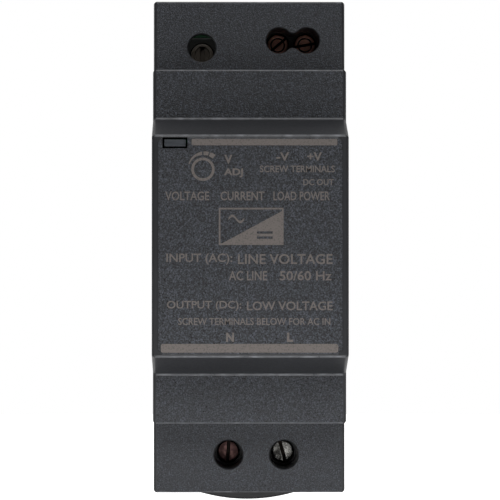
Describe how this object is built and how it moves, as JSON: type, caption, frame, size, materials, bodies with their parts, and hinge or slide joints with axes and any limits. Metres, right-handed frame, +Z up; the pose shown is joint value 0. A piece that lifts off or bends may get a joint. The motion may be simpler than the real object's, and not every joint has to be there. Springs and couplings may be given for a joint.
{
  "type": "din rail power supply",
  "caption": "Narrow stepped power supply case that clips onto a top hat rail, with recessed screw terminals, a voltage trimmer and a sliding rail latch.",
  "frame": {"origin": "centre of the flat seat face that rests on the rail", "axes": "+Z up along the case's height, +Y towards the rail and the wall, -Y towards the user, +X to the user's right"},
  "size_m": [0.035, 0.0545, 0.0936],
  "materials": {
    "case_plastic": "dark charcoal polycarbonate, fine spark-eroded texture",
    "latch_plastic": "dark charcoal moulded latch",
    "spring_steel": "bright spring wire",
    "board_laminate": "green solder mask",
    "black_plastic": "black moulded plastic",
    "screw_steel": "plated steel",
    "cage_steel": "plated steel",
    "contact_brass": "tinned copper alloy",
    "clear_plastic": "clear light guide, unlit",
    "ivory_plastic": "ivory moulded plastic",
    "capacitor_sleeve": "shrink sleeve",
    "yellow_tape": "yellow insulation",
    "blue_epoxy": "dipped epoxy",
    "dark_epoxy": "black mould compound",
    "aluminium": "plain sheet",
    "ferrite": "sintered ferrite"
  },
  "bodies": {
    "case": {"front_housing": "case_plastic", "rear_base": "case_plastic", "latch_spring": "spring_steel", "main_board": "board_laminate", "output_terminal_block": "black_plastic", "input_terminal_block": "black_plastic", "output_contact_negative": "contact_brass", "output_contact_positive": "contact_brass", "input_contact_neutral": "contact_brass", "input_contact_line": "contact_brass", "light_pipe": "clear_plastic", "status_led": "clear_plastic", "trimmer_body": "black_plastic", "bulk_capacitor": "capacitor_sleeve", "output_capacitor_a": "capacitor_sleeve", "output_capacitor_b": "capacitor_sleeve", "x_capacitor": "yellow_tape", "y_capacitor": "blue_epoxy", "inrush_thermistor": "dark_epoxy", "input_fuse": "dark_epoxy", "bridge_rectifier": "dark_epoxy", "switching_transistor": "dark_epoxy", "output_diode": "dark_epoxy", "transistor_heat_sink": "aluminium", "diode_heat_sink": "aluminium", "optocoupler": "dark_epoxy", "controller_chip": "dark_epoxy", "output_inductor": "ferrite", "line_choke_ring": "ferrite", "line_choke_base": "black_plastic", "transformer_core_front": "ferrite", "transformer_core_rear": "ferrite", "transformer_bobbin": "black_plastic", "transformer_winding": "yellow_tape"},
    "latch": {"rail_latch": "latch_plastic"},
    "adjuster": {"trimmer_rotor": "ivory_plastic"},
    "output_screw_negative": {"output_screw_negative": "screw_steel"},
    "output_cage_negative": {"output_cage_negative": "cage_steel"},
    "output_screw_positive": {"output_screw_positive": "screw_steel"},
    "output_cage_positive": {"output_cage_positive": "cage_steel"},
    "input_screw_neutral": {"input_screw_neutral": "screw_steel"},
    "input_cage_neutral": {"input_cage_neutral": "cage_steel"},
    "input_screw_line": {"input_screw_line": "screw_steel"},
    "input_cage_line": {"input_cage_line": "cage_steel"}
  },
  "joints": [
    {"name": "latch_slide", "type": "slide", "parent": "case", "child": "latch", "axis": [0, 0, -1], "range_m": [0, 0.0045], "stiffness_N_per_m": 800, "springref_m": -0.0015, "deforming": ["latch_spring"]},
    {"name": "adjuster_turn", "type": "hinge", "parent": "case", "child": "adjuster", "pos_m": [-0.00868, -0.0116, 0.0365], "axis": [0, 1, 0], "range_deg": [-130, 130]},
    {"name": "output_negative_screw_turn", "type": "hinge", "parent": "case", "child": "output_screw_negative", "pos_m": [0.00547, -0.019, 0.03785], "axis": [0, 1, 0], "range_deg": [0, 1728.1]},
    {"name": "output_negative_cage_slide", "type": "slide", "parent": "case", "child": "output_cage_negative", "axis": [0, -1, 0], "range_m": [0, 0.0024]},
    {"name": "output_positive_screw_turn", "type": "hinge", "parent": "case", "child": "output_screw_positive", "pos_m": [0.01055, -0.019, 0.03785], "axis": [0, 1, 0], "range_deg": [0, 1728.1]},
    {"name": "output_positive_cage_slide", "type": "slide", "parent": "case", "child": "output_cage_positive", "axis": [0, -1, 0], "range_m": [0, 0.0024]},
    {"name": "input_neutral_screw_turn", "type": "hinge", "parent": "case", "child": "input_screw_neutral", "pos_m": [-0.00379, -0.019, -0.03805], "axis": [0, 1, 0], "range_deg": [0, 1728.1]},
    {"name": "input_neutral_cage_slide", "type": "slide", "parent": "case", "child": "input_cage_neutral", "axis": [0, -1, 0], "range_m": [0, 0.0024]},
    {"name": "input_line_screw_turn", "type": "hinge", "parent": "case", "child": "input_screw_line", "pos_m": [0.00637, -0.019, -0.03805], "axis": [0, 1, 0], "range_deg": [0, 1728.1]},
    {"name": "input_line_cage_slide", "type": "slide", "parent": "case", "child": "input_cage_line", "axis": [0, -1, 0], "range_m": [0, 0.0024]}
  ],
  "couplings": [
    {"joint": "output_negative_screw_turn", "follows": "output_negative_cage_slide", "rad_per_m": 12566},
    {"joint": "output_positive_screw_turn", "follows": "output_positive_cage_slide", "rad_per_m": 12566},
    {"joint": "input_neutral_screw_turn", "follows": "input_neutral_cage_slide", "rad_per_m": 12566},
    {"joint": "input_line_screw_turn", "follows": "input_line_cage_slide", "rad_per_m": 12566}
  ]
}
